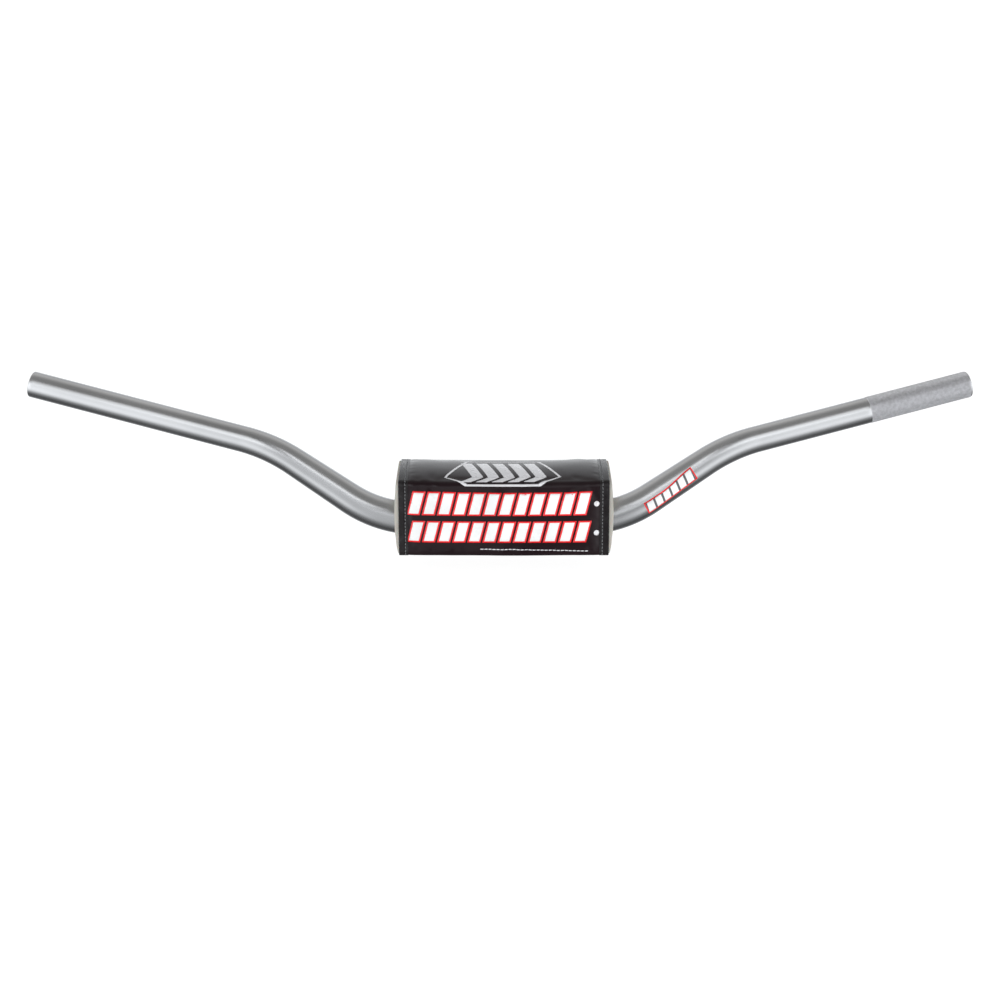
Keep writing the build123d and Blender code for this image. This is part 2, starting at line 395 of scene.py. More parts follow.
def pad_vinyl():
    """Black gloss coated fabric: smooth film over a faint weave, with handling haze."""
    paint = Paint("pad_vinyl", Specular_IOR_Level=0.25)
    haze = paint.noise(35.0, 4.0)
    orange_peel = paint.noise(420.0, 2.0)
    weave = paint.wave(paint.flow, 320.0, 0.6)
    colour = paint.ramp(haze, (0.3, (0.010, 0.0048, 0.0062)), (0.7, (0.015, 0.0080, 0.0095)))
    spread = paint.ramp(haze, (0.3, 0.13), (0.7, 0.19))
    normal = paint.bump(orange_peel, 0.12, 0.08 * MM)
    normal = paint.bump(weave, 0.04, 0.03 * MM, normal)
    return paint.drive(colour, spread, normal)


def binding_tape():
    """Black woven binding tape with a gloss coat, rubbed lighter in places."""
    paint = Paint("binding_tape", Specular_IOR_Level=0.3)
    rib = paint.wave(paint.flow, 420.0, 1.2, "Y")
    rub = paint.noise(140.0, 4.0)
    colour = paint.ramp(rub, (0.4, (0.009, 0.007, 0.0075)), (0.85, (0.022, 0.020, 0.021)))
    spread = paint.ramp(rub, (0.3, 0.16), (0.7, 0.28))
    return paint.drive(colour, spread, paint.bump(rib, 0.35, 0.08 * MM))


def pad_foam():
    """Closed-cell foam with a cut face: fine pores painted darker inside as shade in their hollows, and a
    slightly yellowed beige grey.
    """
    paint = Paint("pad_foam", Specular_IOR_Level=0.25, Subsurface_Weight=0.12, Subsurface_Scale=0.002)
    pores = paint.cells(1100.0)
    cloud = paint.noise(55.0, 5.0)
    colour = paint.ramp(cloud, (0.3, (0.42, 0.403, 0.362)), (0.72, (0.502, 0.484, 0.44)))
    # Painted shade: the pores are mixed towards a darker beige, as shade inside their hollows.
    pores_with_painted_shade = paint.mix(paint.ramp(pores, (0.0, 0.35), (0.45, 0.0)), colour, (0.30, 0.285, 0.24))
    spread = paint.ramp(cloud, (0.3, 0.78), (0.7, 0.92))
    normal = paint.bump(pores, 0.5, 0.25 * MM)
    normal = paint.bump(paint.cells(420.0), 0.25, 0.3 * MM, normal)
    return paint.drive(pores_with_painted_shade, spread, normal)


def sewing_thread(name, dark, light):
    """Twisted polyester thread, painted lighter on its twist ridges as highlights and darker in its grooves
    as shade.
    """
    paint = Paint(name, Specular_IOR_Level=0.4, Sheen_Weight=0.3, Sheen_Roughness=0.4)
    twist_and_highlight = paint.wave(paint.object, 700.0, 0.8, "DIAGONAL")
    # Painted highlight and shade: the colour runs from the dark one in the twist's grooves to the light one
    # on its ridges.
    colour = paint.ramp(twist_and_highlight, (0.2, dark), (0.8, light))
    spread = paint.ramp(twist_and_highlight, (0.2, 0.62), (0.8, 0.48))
    return paint.drive(colour, spread, paint.bump(twist_and_highlight, 0.6, 0.1 * MM))


def print_film(name, base, metallic=0.0):
    """Printed foil on the vinyl, very slightly worn."""
    paint = Paint(name, Metallic=metallic, Specular_IOR_Level=0.5, Coat_Weight=0.4, Coat_Roughness=0.1)
    wear = paint.noise(160.0, 5.0)
    tint = paint.ramp(paint.noise(22.0), (0.35, 0.0), (0.65, 1.0))
    clean = paint.mix(tint, shade(base, 0.9), shade(base, 1.05))
    colour = paint.mix(paint.ramp(wear, (0.66, 0.0), (0.8, 0.35)), clean, shade(base, 0.6))
    spread = paint.ramp(wear, (0.3, 0.22), (0.75, 0.4))
    return paint.drive(colour, spread, paint.bump(wear, 0.08, 0.05 * MM))


def strap_webbing():
    """Black woven webbing."""
    paint = Paint("strap_webbing", Specular_IOR_Level=0.35, Sheen_Weight=0.35, Sheen_Roughness=0.5)
    warp = paint.wave(paint.flow, 160.0)
    weft = paint.wave(paint.flow, 130.0, direction="Y")
    cloth = paint.node("ShaderNodeMath", {0: warp, 1: weft}, operation="MULTIPLY").outputs["Value"]
    lint = paint.noise(240.0, 4.0)
    colour = paint.ramp(cloth, (0.1, (0.010, 0.010, 0.011)), (0.7, (0.036, 0.036, 0.038)))
    dusty = paint.mix(paint.ramp(lint, (0.6, 0.0), (0.85, 0.4)), colour, (0.075, 0.073, 0.07))
    spread = paint.ramp(lint, (0.3, 0.66), (0.7, 0.82))
    return paint.drive(dusty, spread, paint.bump(cloth, 0.6, 0.2 * MM))


def napped_tape(name, base, scale, gloss):
    """The fuzzy loop side or the harder hook side of the closure."""
    paint = Paint(name, Specular_IOR_Level=0.3, Sheen_Weight=0.5 - gloss / 2, Sheen_Roughness=0.5)
    nap = paint.noise(scale, 6.0, 0.7)
    colour = paint.ramp(nap, (0.3, base), (0.72, shade(base, 2.2)))
    spread = paint.ramp(nap, (0.3, 0.9 - gloss / 2), (0.7, 0.75 - gloss / 2))
    return paint.drive(colour, spread, paint.bump(nap, 0.9, 0.3 * MM))


# ================= Bar =================

def tube_profile():
    """(distance, radius) pairs round the tube's wall: outside from right to left, then the bore back."""
    straight = BAR_HALF - RIM_ROUNDING
    outside = []
    for distance in spaced(-straight, straight, RING_SPACING):
        sunk = KNURL_DEPTH if distance > KNURL_START else 0
        outside.append((distance, taper(distance, CLAMP_RADIUS, GRIP_RADIUS) - sunk))
    end, lip = [], []
    for index in range(RIM_STEPS + 1):
        around = TURN / 4 * index / RIM_STEPS
        wide, narrow = RIM_ROUNDING * (1 - math.sin(around)), RIM_ROUNDING * (1 - math.cos(around))
        end.append((BAR_HALF - wide, GRIP_RADIUS - narrow))
        lip.append((BAR_HALF - narrow, GRIP_BORE_RADIUS + wide))
    end = end[1:] + lip[:-1]
    bore = [
        (distance, taper(distance, CLAMP_BORE_RADIUS, GRIP_BORE_RADIUS))
        for distance in spaced(straight, -straight, 4 * RING_SPACING)
    ]
    return outside + end + bore + [(-distance, radius) for distance, radius in reversed(end)]


def make_tube(material):
    """The whole tube, one closed wall."""
    profile = tube_profile()
    rings = [(*ring, TURN * index / TUBE_SIDES) for ring in profile for index in range(TUBE_SIDES)]
    points = [on_bar(distance, around, radius) for distance, radius, around in rings]
    faces = grid_faces(len(profile), TUBE_SIDES, wrap_rows=True)
    tube = outward(mesh_object("bar_tube_drawn", points, faces))
    coordinates = [(distance, around * CLAMP_RADIUS) for distance, radius, around in rings]
    flow_map(tube, coordinates, wrap=TURN * CLAMP_RADIUS)
    finished(tube, material, "bar", "bar_alloy", "bar_tube")


def make_knurl(material):
    """A sleeve of flat-topped diamonds over the end of the rider's left grip."""
    columns = 2 * KNURL_COLUMNS
    length = BAR_HALF - RIM_ROUNDING - KNURL_START
    rows = int(length / (TURN * GRIP_RADIUS / columns)) // 2 * 2
    sides = ((-1, 0), (0, 1), (1, 0), (0, -1))
    points, faces = [], []

    def add_point(row, column, height):
        around = TURN * column / columns
        points.append(on_bar(KNURL_START + row * length / rows, around, GRIP_RADIUS + height))

    def corner(row, column):
        return row * columns + column % columns

    def join_rings(first, second):
        """Quads between two rings, given by the first point of each."""
        for column in range(columns):
            following = (column + 1) % columns
            faces.append((first + column, first + following, second + following, second + column))

    for row in range(rows + 1):
        for column in range(columns):
            add_point(row, column, -KNURL_DEPTH / 2)
    for row in range(1, rows):
        for column in range((row + 1) % 2, columns, 2):
            ring = [corner(row + down, column + right) for down, right in sides]
            top = [len(points) + index for index in range(4)]
            for down, right in sides:
                add_point(row + down * KNURL_TOP, column + right * KNURL_TOP, KNURL_DEPTH / 2)
            faces.append(tuple(top))
            faces += [(ring[i - 1], ring[i], top[i], top[i - 1]) for i in (1, 2, 3, 0)]
    for edge_row, inner_row in ((0, 1), (rows, rows - 1)):
        for column in range(1, columns, 2):
            for low in (column - 1, column):
                edge = (corner(edge_row, low), corner(edge_row, low + 1))
                faces.append((*edge, corner(inner_row, column)))
        base = len(points)
        for column in range(columns):
            add_point(edge_row, column, -2 * KNURL_DEPTH)
        join_rings(edge_row * columns, base)
    join_rings(len(points) - 2 * columns, len(points) - columns)
    knurl = outward(mesh_object("grip_knurl", points, faces, smooth=False))
    flow_map(knurl, [(0, 0)] * len(points))
    finished(knurl, material, "bar", "bar_alloy")


# ================= Pad surface =================

# Corners of the pad's end-on outline, from the middle of its underside round its front.
OUTLINE_CORNERS = (
    (0, PAD_BOTTOM),
    (PAD_FRONT, PAD_BOTTOM),
    (PAD_FRONT, PAD_TOP_CORNER),
    PAD_CROWN,
    (PAD_REAR, PAD_TOP_CORNER),
    (PAD_REAR, PAD_BOTTOM),
    (0, PAD_BOTTOM),
)
OUTLINE = rounded_path([Vector((0, y, z)) for y, z in OUTLINE_CORNERS], PAD_ROUNDINGS)
ROUND = path_length(OUTLINE)
FRONT_FROM = OUTLINE[0][4] + OUTLINE[1][4]
FRONT_TO = FRONT_FROM + OUTLINE[2][4]
TOP_FROM = FRONT_TO + OUTLINE[3][4]


def pad_bend(point):
    """Where a point of the plain pad goes once its faces bulge and its top sags in the middle."""
    share = 1 - min(1, abs(point.x - PAD_MIDDLE) / PAD_HALF) ** 2
    forward = clamped(0.5 - point.y / (PAD_REAR - PAD_FRONT))
    height = clamped((point.z - PAD_BOTTOM) / (PAD_TOP - PAD_BOTTOM))
    belly = math.sin(math.pi * min(1, height * BELLY_REACH))
    moved = point.copy()
    moved.y -= FRONT_BULGE * share * forward * (1 - BELLY_SHARE + BELLY_SHARE * belly)
    moved.y += REAR_BULGE * share * (1 - forward) * belly
    moved.z -= TOP_SAG * share * eased(height)
    return moved


def on_pad(x, place, out=0.0):
    """The point over the pad's cover at x from its middle and a distance round, standing out from it."""
    point, direction = walk(OUTLINE, place)
    normal = Vector((0, -direction.z, direction.y))
    return pad_bend(Vector((PAD_MIDDLE + x, point.y, point.z)) + normal * out)


CALM_STRIP = 5 * MM
SKIN_RISE = 0.08 * MM
BROAD_WAVE = 0.36 * MM
SMALL_WAVE = 0.10 * MM
HEM_GATHER = 0.12 * MM
HEM_FADE = 5 * MM


def from_underside(place):
    """The distance round from the middle of the pad's underside, whichever way is shorter."""
    return min(place, ROUND - place)


def calm(place):
    """Zero over the flat strips beside the opening underneath, where the straps root; one elsewhere."""
    return clamped((from_underside(place) - CAVITY_HALF_Y - CALM_STRIP) / CALM_STRIP)


def pucker(x, place):
    """How far the cover's skin stands off the plain outline: soft waves, and dimples along the hems."""
    broad = BROAD_WAVE * ripple(x, place, 22, 18, 3.1)
    small = SMALL_WAVE * ripple(x, place, 70, 55, 8.4)
    gather = HEM_GATHER * ripple(4 + math.copysign(2, x), place, 1, 130, 1.7)
    near_hem = math.exp(-max(0, PAD_HALF - BINDING_WIDTH - abs(x)) / HEM_FADE)
    return (SKIN_RISE + broad + small) * (1 - near_hem) * calm(place) + gather * near_hem


# ---- Cloth run that settles the cover ----
SETTLE_SPACING = 2.6 * MM
SETTLE_FRAMES = 20
SETTLE_CAP = 0.9 * MM
SETTLE_SINK = 0.05 * MM
CLOTH_SETTINGS = {
    "quality": 6,
    "mass": 0.4,
    "tension_stiffness": 20,
    "compression_stiffness": 20,
    "shear_stiffness": 8,
    "bending_stiffness": 1.5,
    "vertex_group_mass": "pins",
    "use_pressure": True,
    "uniform_pressure_force": 4.0,
    "shrink_min": -0.01,
}


class SettledSkin:
    """Where the vinyl comes to rest between its hems and its underside, as moves over a grid."""

    def __init__(self):
        hem = PAD_HALF - BINDING_WIDTH
        self.xs = spaced(-hem, hem, SETTLE_SPACING)
        self.places = spaced(CAVITY_HALF_Y, ROUND - CAVITY_HALF_Y, SETTLE_SPACING)
        self.moves = np.zeros((len(self.xs), len(self.places), 3))
        self.settle()

    def settle(self):
        """Run the skin as cloth, pinned along its border and pushed out by the foam."""
        rows, columns = len(self.xs), len(self.places)
        grid = [(x, place) for x in self.xs for place in self.places]
        plain = [on_pad(x, place, pucker(x, place)) for x, place in grid]
        faces = [quad[::-1] for quad in grid_faces(rows, columns, wrap_columns=False)]
        skin = mesh_object("settling_skin", plain, faces)
        border = [
            row * columns + column
            for row, column in np.ndindex(rows, columns)
            if row in (0, rows - 1) or column in (0, columns - 1)
        ]
        skin.vertex_groups.new(name="pins").add(border, 1.0, "REPLACE")
        cloth = skin.modifiers.new("cloth", "CLOTH")
        for name, value in CLOTH_SETTINGS.items():
            setattr(cloth.settings, name, value)
        cloth.settings.effector_weights.gravity = 0
        cloth.point_cache.frame_end = SETTLE_FRAMES
        for step in range(1, SETTLE_FRAMES + 1):
            bpy.context.scene.frame_set(step)
        bake_modifiers(skin)
        moves = np.array([vertex.co - start for vertex, start in zip(skin.data.vertices, plain)])
        bpy.data.objects.remove(skin)
        bpy.context.scene.frame_set(1)
        outs = np.array([on_pad(x, place, 1) - on_pad(x, place) for x, place in grid])
        outs /= np.linalg.norm(outs, axis=1, keepdims=True)
        risen = np.sum(moves * outs, axis=1, keepdims=True)
        moves += outs * np.maximum(0, -SETTLE_SINK - risen)
        lengths = np.linalg.norm(moves, axis=1, keepdims=True) + 1e-9
        moves *= SETTLE_CAP * np.tanh(lengths / SETTLE_CAP) / lengths
        self.moves = moves.reshape(rows, columns, 3)

    def move(self, x, place):
        """The move at x and a distance round, and none at the hems and underneath."""
        along = (x - self.xs[0]) / (self.xs[1] - self.xs[0])
        across = (place - self.places[0]) / (self.places[1] - self.places[0])
        if not (0 < along < len(self.xs) - 1 and 0 < across < len(self.places) - 1):
            return Vector((0, 0, 0))
        row, column = int(along), int(across)
        down, right = along - row, across - column
        square = self.moves[row:row + 2, column:column + 2]
        near, far = square[:, 0] * (1 - right) + square[:, 1] * right
        return Vector(near * (1 - down) + far * down)

    def point(self, x, place, out=0.0):
        """The point over the settled skin, standing out from it."""
        return on_pad(x, place, pucker(x, place) + out) + self.move(x, place) * calm(place)


# ---- Spacing of the cover's points along x over the cavity, beside it and over the hems, and round it ----
MIDDLE_SPACING, SIDE_SPACING, HEM_SPACING = 2.4 * MM, 2.0 * MM, 1.5 * MM
ROUND_SPACING = 1.3 * MM


def cover_columns():
    """x places over the cover, with places exactly on the cavity's and the hems' edges."""
    hem = PAD_HALF - BINDING_WIDTH
    inner = spaced(-CAVITY_HALF_X, CAVITY_HALF_X, MIDDLE_SPACING)
    left = spaced(CAVITY_HALF_X, hem, SIDE_SPACING)[1:] + spaced(hem, PAD_HALF, HEM_SPACING)[1:]
    return [-x for x in reversed(left)] + inner + left


def cover_rounds():
    """Distances round the outline, with places exactly on the slot's and the cavity's edges."""
    edges = [SLOT_HALF_Y, CAVITY_HALF_Y, ROUND - CAVITY_HALF_Y, ROUND - SLOT_HALF_Y]
    places = [edges[0]]
    for start, end in zip(edges, edges[1:]):
        places += spaced(start, end, ROUND_SPACING)[1:]
    return places


def make_cover(skin, material):
    """The vinyl skin, open underneath for the clamp and the bar, as one closed thin shell."""
    columns, rounds = cover_columns(), cover_rounds()
    coordinates = [(x, place) for x in columns for place in rounds]
    faces = []
    for quad in grid_faces(len(columns), len(rounds), wrap_columns=False):
        x = sum(coordinates[index][0] for index in quad) / 4
        place = sum(coordinates[index][1] for index in quad) / 4
        if abs(x) > CAVITY_HALF_X or from_underside(place) > CAVITY_HALF_Y:
            faces.append(quad[::-1])
    cover = mesh_object("pad_cover", [skin.point(x, place) for x, place in coordinates], faces)
    flow_map(cover, coordinates)
    shell = cover.modifiers.new("skin", "SOLIDIFY")
    shell.thickness = COVER_THICKNESS
    shell.offset = -1
    bake_modifiers(cover)
    finished(cover, material, "pad", "pad_vinyl", "cover_panel")


# ---- Foam: pressed in under the cover, swollen at its ends just past the hems, a little rough ----
FOAM_VOXEL = 1.3 * MM
FOAM_SHORTENING = 0.992
FOAM_INSET = 0.35 * MM
FOAM_INSET_END = 1 * MM
FOAM_INSET_ABOVE = 30 * MM
FOAM_INSET_BELOW = PAD_BOTTOM + 4 * MM
FOAM_RIM = 1.7 * MM
FOAM_RIM_RISE = 2 * MM
FOAM_DOME = 4 * MM
FOAM_SWELL_HEIGHT = 30 * MM
FOAM_GRAIN = 0.10 * MM
FOAM_GRAIN_RATE = 260


def foam_place(plain):
    """Where a point of the plain foam block goes before it bends with the cover."""
    from_middle = plain.x - PAD_MIDDLE
    beyond = abs(from_middle) - PAD_HALF
    inside = FOAM_INSET if beyond < -FOAM_INSET_END else 0
    swell = FOAM_RIM * eased(1 + beyond / FOAM_RIM_RISE) * (1 - clamped(beyond / FOAM_DOME))
    swell *= clamped((plain.z - PAD_BOTTOM) / FOAM_SWELL_HEIGHT)
    x = PAD_MIDDLE + from_middle * FOAM_SHORTENING + math.copysign(swell, from_middle)
    up = -1 if plain.z > FOAM_INSET_ABOVE else 1 if plain.z < FOAM_INSET_BELOW else 0
    return Vector((x, plain.y * (1 - inside / PAD_REAR), plain.z + inside * up))


def make_foam(material):
    """The foam block, its cut edges softened, bent as the cover is."""
    foam = bpy.data.objects.new("pad_foam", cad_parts["foam_block"].data.copy())
    bpy.context.scene.collection.objects.link(foam)
    remesh = foam.modifiers.new("voxels", "REMESH")
    remesh.mode = "VOXEL"
    remesh.voxel_size = FOAM_VOXEL
    remesh.use_smooth_shade = True
    soften = foam.modifiers.new("soften", "SMOOTH")
    soften.factor = 0.5
    soften.iterations = 3
    bake_modifiers(foam)
    for vertex in foam.data.vertices:
        place = foam_place(vertex.co)
        grain = [noise.noise(place * FOAM_GRAIN_RATE + UP * layer) for layer in (0, 50, 100)]
        vertex.co = pad_bend(place) + Vector(grain) * FOAM_GRAIN
    flow_map(foam, [(v.co.x, v.co.z) for v in foam.data.vertices])
    finished(foam, material, "pad", "pad_foam", "foam_block")


# ================= Bindings and thread =================

TAPE_HEIGHT = 0.30 * MM
TAPE_UNDER = 0.90 * MM
TAPE_TUCK = 0.05 * MM
TAPE_EASE = 0.25 * MM
TAPE_WANDER = 0.10
TAPE_PUFF = 0.25
SEAM_PULL = 0.8 * MM
SEAM_DEPTH = 0.8
TAPE_SPACING = 0.5 * MM


def near_seam(inward):
    """One on the hem's seam, fading to zero on both sides of it."""
    return math.exp(-((inward - SEAM_FROM_EDGE) / SEAM_PULL) ** 2)


def tape_section():
    """(distance in from the cover's edge, height over the cover) round the hem tape's section."""
    over = []
    for inward in spaced(BINDING_WIDTH, TAPE_HEIGHT, TAPE_SPACING):
        tucked = math.exp(-(BINDING_WIDTH - inward) / TAPE_EASE)
        height = TAPE_HEIGHT * (1 - tucked) * (1 - SEAM_DEPTH * near_seam(inward))
        over.append((inward, height - TAPE_TUCK * tucked))
    radius = (TAPE_HEIGHT + TAPE_UNDER) / 2
    middle = TAPE_HEIGHT - radius
    fold = [(-radius * math.sin(a), middle + radius * math.cos(a)) for a in spaced(0, TURN / 2, TURN / 20)]
    return over + fold + [(0, middle)]


def make_binding(side, sign, material):
    """The hem tape round one end of the cover, pressed in at each stitch."""
    section = tape_section()
    places = spaced(SLOT_HALF_Y, ROUND - SLOT_HALF_Y, STITCH_PITCH / 4)
    points, coordinates = [], []
    for place in places:
        beat = -0.5 * math.cos(TURN * (place - SLOT_HALF_Y) / STITCH_PITCH)
        wander = TAPE_WANDER * ripple(sign, place, 3, 90, 0.4)
        for inward, height in section:
            puff = TAPE_PUFF * beat * near_seam(inward) * max(0, height)
            x = sign * (PAD_HALF - inward - wander * MM)
            points.append(on_pad(x, place, height * (1 + wander) + puff))
            coordinates.append((inward, place))
    columns = len(section)
    faces = grid_faces(len(places), columns)
    faces.append(tuple(range(columns)))
    faces.append(tuple(range(len(points) - columns, len(points))))
    binding = outward(mesh_object(f"{side}_hem_tape", points, faces))
    flow_map(binding, coordinates)
    finished(binding, material, "pad", "binding_tape", f"{side}_edge_binding")


STITCH_LENGTH = 2.3 * MM
STITCH_WIDTH = 0.55 * MM
STITCH_HEIGHT = 0.42 * MM
STITCH_RINGS, STITCH_SIDES = 9, 8
STITCH_TWIST = 0.10
STITCH_LEAN = 0.10
STITCH_OVER_COVER = 0.12 * MM


def stitch_mesh(places, name, height=STITCH_HEIGHT):
    """Raised stitches, one on each (middle, along, out), their ends dipping into the cloth."""
    points, faces = [], []
    rings = grid_faces(STITCH_RINGS, STITCH_SIDES)
    for middle, along, out in places:
        across = along.cross(out).normalized()
        first = len(points)
        for row in range(STITCH_RINGS):
            share = row / (STITCH_RINGS - 1) * 2 - 1
            plump = math.sqrt(max(0.02, 1 - share ** 4))
            centre = middle + along * (share * STITCH_LENGTH / 2) + out * (height * (0.5 - 0.75 * share ** 2))
            for column in range(STITCH_SIDES):
                around = TURN * column / STITCH_SIDES
                size = plump * (1 + STITCH_TWIST * math.sin(3 * around + 9 * share)) / 2
                sideways = across * (math.cos(around) * STITCH_WIDTH * size)
                points.append(centre + sideways + out * (math.sin(around) * height * size))
        faces += [tuple(first + index for index in quad) for quad in rings]
        faces.append(tuple(range(first, first + STITCH_SIDES)))
        faces.append(tuple(range(len(points) - STITCH_SIDES, len(points))))
    stitches = outward(mesh_object(name, points, faces))
    flow_map(stitches, [(0, 0)] * len(points))
    return stitches


def hem_stitches(side, sign, material):
    """The row of stitches round one hem."""
    x = sign * (PAD_HALF - SEAM_FROM_EDGE)
    places = []
    for index in range(int((ROUND - 2 * SLOT_HALF_Y) / STITCH_PITCH)):
        place = SLOT_HALF_Y + (index + 0.5) * STITCH_PITCH
        along = (on_pad(x, place + 0.5 * MM) - on_pad(x, place - 0.5 * MM)).normalized()
        out = (on_pad(x, place, 1 * MM) - on_pad(x, place)).normalized()
        lean = sign * STITCH_LEAN * (1 if index % 2 else -1)
        along = (along + along.cross(out) * lean).normalized()
        places.append((on_pad(x, place, STITCH_OVER_COVER), along, out))
    stitches = stitch_mesh(places, f"{side}_hem_stitches")
    finished(stitches, material, "pad", "thread", f"{side}_binding_thread")


# ================= Prints =================

PRINT_SPACING = 2 * MM
PRINT_OVER = 0.05 * MM
SECOND_PRINT_OVER = 0.13 * MM
STRIPE_FILM = 0.06 * MM
SILVER_FILM = 0.07 * MM


def print_on(name, polygons, surface, out, thickness, *finish):
    """Flat polygons bent over a surface(x, y, out), standing out from it, as a thin closed film."""
    work = bmesh.new()
    for polygon in polygons:
        work.faces.new([work.verts.new((x, y, 0)) for x, y in polygon])
    for axis, normal in enumerate((Vector((1, 0, 0)), Vector((0, 1, 0)))):
        ends = [vertex.co[axis] for vertex in work.verts]
        for place in spaced(min(ends), max(ends), PRINT_SPACING)[1:-1]:
            parts = work.verts[:] + work.edges[:] + work.faces[:]
            bmesh.ops.bisect_plane(work, geom=parts, dist=1e-6, plane_co=normal * place, plane_no=normal)
    bmesh.ops.triangulate(work, faces=[face for face in work.faces if len(face.verts) > 4])
    work.verts.index_update()
    flat = [(vertex.co.x, vertex.co.y) for vertex in work.verts]
    sheet = [tuple(vertex.index for vertex in face.verts) for face in work.faces]
    work.free()
    points = [surface(x, y, out + height) for height in (0.0, thickness) for x, y in flat]
    film = outward(mesh_object(name, points, shell_faces(sheet, len(flat))))
    flow_map(film, flat * 2)
    finished(film, *finish)


def slanted_block(left, right, low, high, lean):
    """A parallelogram that leans to the right by lean over its height."""
    return [(left, low), (right, low), (right + lean, high), (left + lean, high)]


def front_round(height):
    """The distance round the outline at a height up the pad's front face."""
    return FRONT_FROM + height - (PAD_BOTTOM + PAD_ROUNDINGS[0])


# ---- Two rows of blocks across the pad's front, their margins inside the red as shares of its width ----
ROW_PLACES = ((14.8 * MM, 35.1 * MM), (-8.6 * MM, 9.9 * MM))
ROW_START, ROW_END = -79.8 * MM, 67.5 * MM
BLOCKS_PER_ROW = 12
BLOCK_GAP = 1.6 * MM
BLOCK_LEAN_PER_HEIGHT = 0.25
EDGING = 1.3 * MM
EDGING_LEFT, EDGING_RIGHT = 1.3, 0.8


def leaning_block(left, right, low, high):
    return slanted_block(left, right, low, high, BLOCK_LEAN_PER_HEIGHT * (high - low))


def make_stripes(skin, white, red):
    """Two rows of slanted white blocks edged in red across the pad's front."""
    edged, filled = [], []
    pitch = (ROW_END - ROW_START + BLOCK_GAP) / BLOCKS_PER_ROW
    for low, high in ROW_PLACES:
        bottom, top = front_round(low), front_round(high)
        for index in range(BLOCKS_PER_ROW):
            left = ROW_START + index * pitch
            right = left + pitch - BLOCK_GAP
            edged.append(leaning_block(left, right, bottom, top))
            left += EDGING * EDGING_LEFT
            right -= EDGING * EDGING_RIGHT
            filled.append(leaning_block(left, right, bottom + EDGING, top - EDGING))
    finish = ("pad", "pad_vinyl")
    print_on("front_stripe_edging", edged, skin.point, PRINT_OVER, STRIPE_FILM, red, *finish)
    print_on("front_stripe_blocks", filled, skin.point, SECOND_PRINT_OVER, STRIPE_FILM, white, *finish)


# ---- Small prints on the pad's front ----
DOT_MIDDLE = 76.1 * MM
DOT_HEIGHTS = (24.3 * MM, -0.6 * MM)
DOT_RADIUS = 2.3 * MM
DOT_SIDES = 20
LINE_HEIGHT = -14.6 * MM
LINE_START, LINE_END = -19.3 * MM, 71.7 * MM
LINE_DROP = 0.019
LINE_WIDTH = 0.9 * MM
DASH, DASH_GAP = 2.6 * MM, 0.7 * MM


def make_small_prints(skin, silver):
    """A silver dot at the end of each row and a broken hairline along the bottom."""
    angles = [TURN * index / DOT_SIDES for index in range(DOT_SIDES)]
    dot = [(DOT_MIDDLE + DOT_RADIUS * math.cos(a), DOT_RADIUS * math.sin(a)) for a in angles]
    shapes = [[(x, front_round(height) + y) for x, y in dot] for height in DOT_HEIGHTS]
    left = LINE_START
    while left + DASH < LINE_END:
        middle = front_round(LINE_HEIGHT) - LINE_DROP * (left - LINE_START)
        shapes.append(slanted_block(left, left + DASH, middle - LINE_WIDTH / 2, middle + LINE_WIDTH / 2, 0))
        left += DASH + DASH_GAP
    print_on("front_small_prints", shapes, skin.point, PRINT_OVER, SILVER_FILM, silver, "pad", "pad_vinyl")


# ---- Badge over the pad's front top edge: x places, and distances round the outline ----
BADGE_MIDDLE = -1 * MM
BADGE_HALF = 48 * MM
BADGE_CORNER = 17 * MM
BADGE_LOW, BADGE_TIP, BADGE_HIGH = FRONT_TO + 2.2 * MM, TOP_FROM + 6 * MM, TOP_FROM + 47 * MM
BADGE_LINE = 1.6 * MM
TIP_LINE_SHARE = 1.25
CHEVRONS = 5
CHEVRON_START = -35 * MM
CHEVRON_PITCH = 13 * MM
CHEVRON_WIDTH = 9 * MM
CHEVRON_DEPTH = 10 * MM
CHEVRON_LOW, CHEVRON_HIGH = BADGE_LOW + 3.2 * MM, BADGE_HIGH - 6 * MM


def badge_hexagon(inset):
    """The badge's outline, this far inside its edge."""
    tip = BADGE_HALF - inset * TIP_LINE_SHARE
    low, high, corner = BADGE_LOW + inset, BADGE_HIGH - inset, tip - BADGE_CORNER
    lower = [(-tip, BADGE_TIP), (-corner, low), (corner, low)]
    loop = lower + [(tip, BADGE_TIP), (corner, high), (-corner, high)]
    return [(BADGE_MIDDLE + x, y) for x, y in loop]


def make_badge(skin, silver):
    """A plain long hexagon with chevrons in it, over the pad's front top edge."""
    outer, inner = badge_hexagon(0), badge_hexagon(BADGE_LINE)
    shapes = [[outer[i - 1], outer[i], inner[i], inner[i - 1]] for i in (1, 2, 3, 4, 5, 0)]
    for index in range(CHEVRONS):
        left = BADGE_MIDDLE + CHEVRON_START + index * CHEVRON_PITCH
        for edge, order in ((CHEVRON_LOW, -1), (CHEVRON_HIGH, 1)):
            half = slanted_block(left, left + CHEVRON_WIDTH, edge, BADGE_TIP, CHEVRON_DEPTH)
            shapes.append(half[::order])
    print_on("top_badge", shapes, skin.point, PRINT_OVER, SILVER_FILM, silver, "pad", "pad_vinyl")


